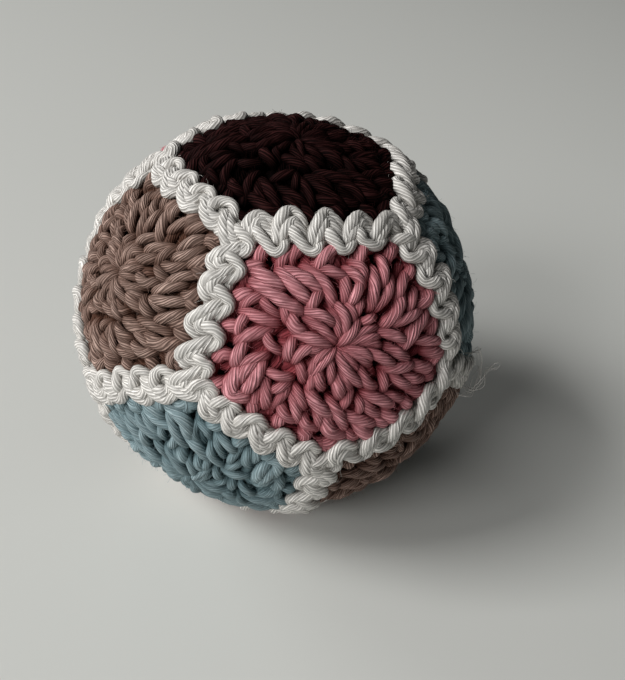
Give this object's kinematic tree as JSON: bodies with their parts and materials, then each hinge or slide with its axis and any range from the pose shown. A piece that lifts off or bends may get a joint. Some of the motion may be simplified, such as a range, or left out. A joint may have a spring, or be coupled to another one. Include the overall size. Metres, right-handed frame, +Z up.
{
  "type": "crochet ball",
  "caption": "Soft stuffed ball of crocheted cotton pentagon panels in four colours, joined by raised white crocheted seams, pressed slightly flat where it rests.",
  "frame": {"origin": "under the ball's centre, on the surface that it stands on", "axes": "+Z up through the dark top panel; -Y towards the side that the picture shows, with the rose panel a little to the right of it"},
  "size_m": [0.0806, 0.0809, 0.0791],
  "materials": {
    "rose_cotton": "matte",
    "teal_cotton": "matte",
    "taupe_cotton": "matte",
    "oxblood_cotton": "matte",
    "white_cotton": "satin",
    "stuffing_fibre": "matte"
  },
  "bodies": {
    "root": {"panel_top": "oxblood_cotton", "panel_front": "rose_cotton", "panel_right": "teal_cotton", "panel_back_right": "taupe_cotton", "panel_back_left": "rose_cotton", "panel_left": "taupe_cotton", "panel_low_front_right": "taupe_cotton", "panel_low_back_right": "oxblood_cotton", "panel_low_back": "teal_cotton", "panel_low_left": "oxblood_cotton", "panel_low_front": "teal_cotton", "panel_bottom": "rose_cotton", "seam_top_to_front": "white_cotton", "seam_top_to_right": "white_cotton", "seam_top_to_back_right": "white_cotton", "seam_top_to_back_left": "white_cotton", "seam_top_to_left": "white_cotton", "seam_front_to_right": "white_cotton", "seam_front_to_left": "white_cotton", "seam_front_to_low_front_right": "white_cotton", "seam_front_to_low_front": "white_cotton", "seam_right_to_back_right": "white_cotton", "seam_right_to_low_front_right": "white_cotton", "seam_right_to_low_back_right": "white_cotton", "seam_back_right_to_back_left": "white_cotton", "seam_back_right_to_low_back_right": "white_cotton", "seam_back_right_to_low_back": "white_cotton", "seam_back_left_to_left": "white_cotton", "seam_back_left_to_low_back": "white_cotton", "seam_back_left_to_low_left": "white_cotton", "seam_left_to_low_left": "white_cotton", "seam_left_to_low_front": "white_cotton", "seam_low_front_right_to_low_back_right": "white_cotton", "seam_low_front_right_to_low_front": "white_cotton", "seam_low_front_right_to_bottom": "white_cotton", "seam_low_back_right_to_low_back": "white_cotton", "seam_low_back_right_to_bottom": "white_cotton", "seam_low_back_to_low_left": "white_cotton", "seam_low_back_to_bottom": "white_cotton", "seam_low_left_to_low_front": "white_cotton", "seam_low_left_to_bottom": "white_cotton", "seam_low_front_to_bottom": "white_cotton", "stuffing_core": "stuffing_fibre"}
  },
  "joints": []
}
